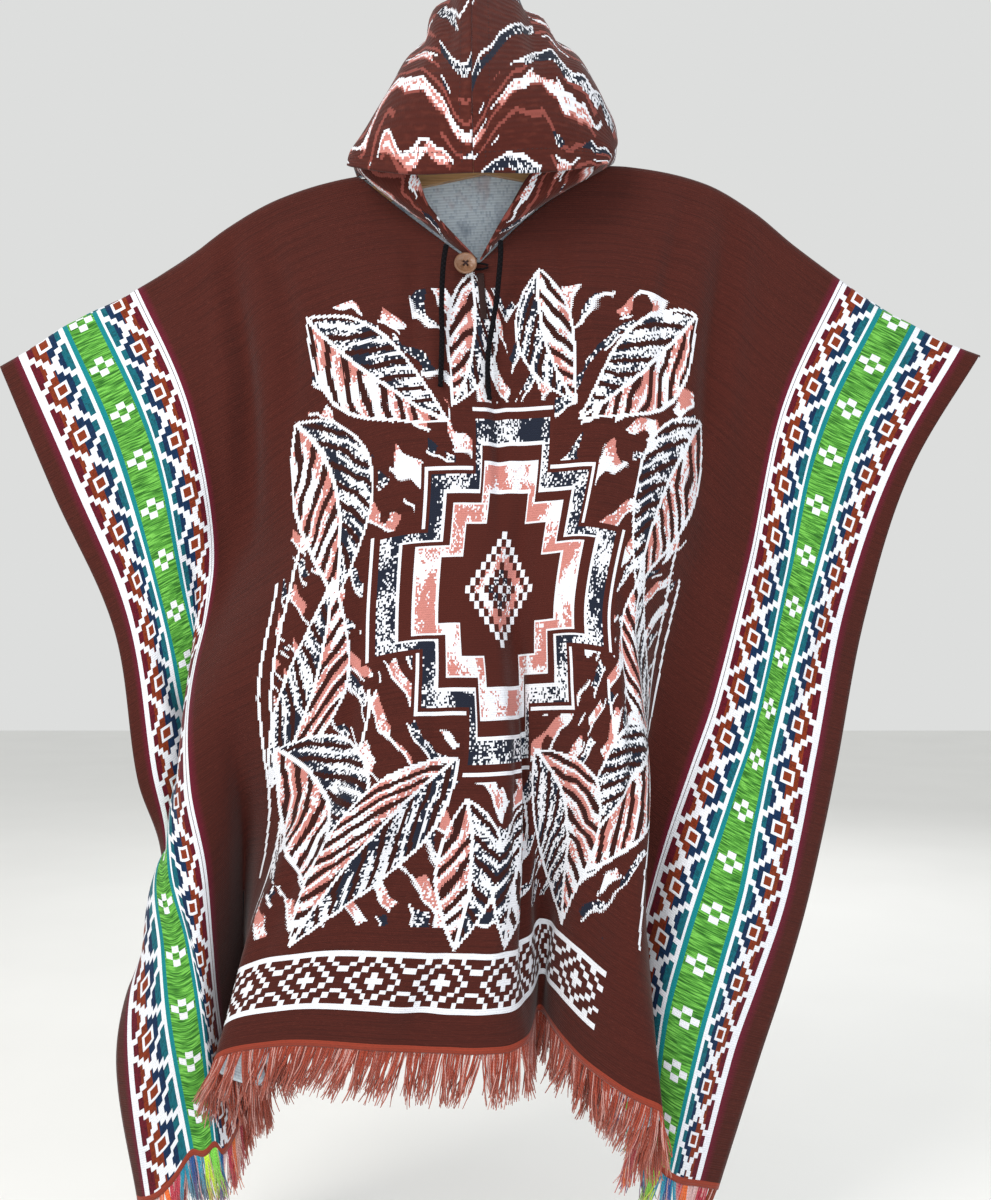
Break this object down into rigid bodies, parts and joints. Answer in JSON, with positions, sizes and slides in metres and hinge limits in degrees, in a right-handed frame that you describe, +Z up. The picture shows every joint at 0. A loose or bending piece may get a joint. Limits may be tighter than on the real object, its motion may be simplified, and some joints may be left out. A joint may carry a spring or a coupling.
{
  "type": "hooded Andean poncho on a clothes hanger",
  "caption": "Hooded woven poncho hanging on a wooden hanger, with patterned side bands, fringed hems, a buttoned neck and a drawcord.",
  "frame": {"origin": "crown of the hanger's hook, where it hangs, inside the peak of the hood", "axes": "+Z up, the front of the poncho faces -Y, +X to the viewer's right"},
  "size_m": [1.0587, 0.2298, 1.3994],
  "materials": {
    "cloth": "woven",
    "fringe": "loose yarn",
    "trim": "woven",
    "cord": "braided",
    "button": "satin",
    "wood": "varnished",
    "wire": "drawn"
  },
  "bodies": {
    "root": {"body_front": "cloth", "body_back": "cloth", "fringe_front": "fringe", "fringe_back": "fringe", "hood_left": "cloth", "hood_right": "cloth", "neck_placket": "trim", "button": "button", "button_thread": "cord", "button_loop": "cord", "drawcord_left": "cord", "drawcord_right": "cord", "hanger_bar": "wood", "hanger_hook": "wire"}
  },
  "joints": []
}
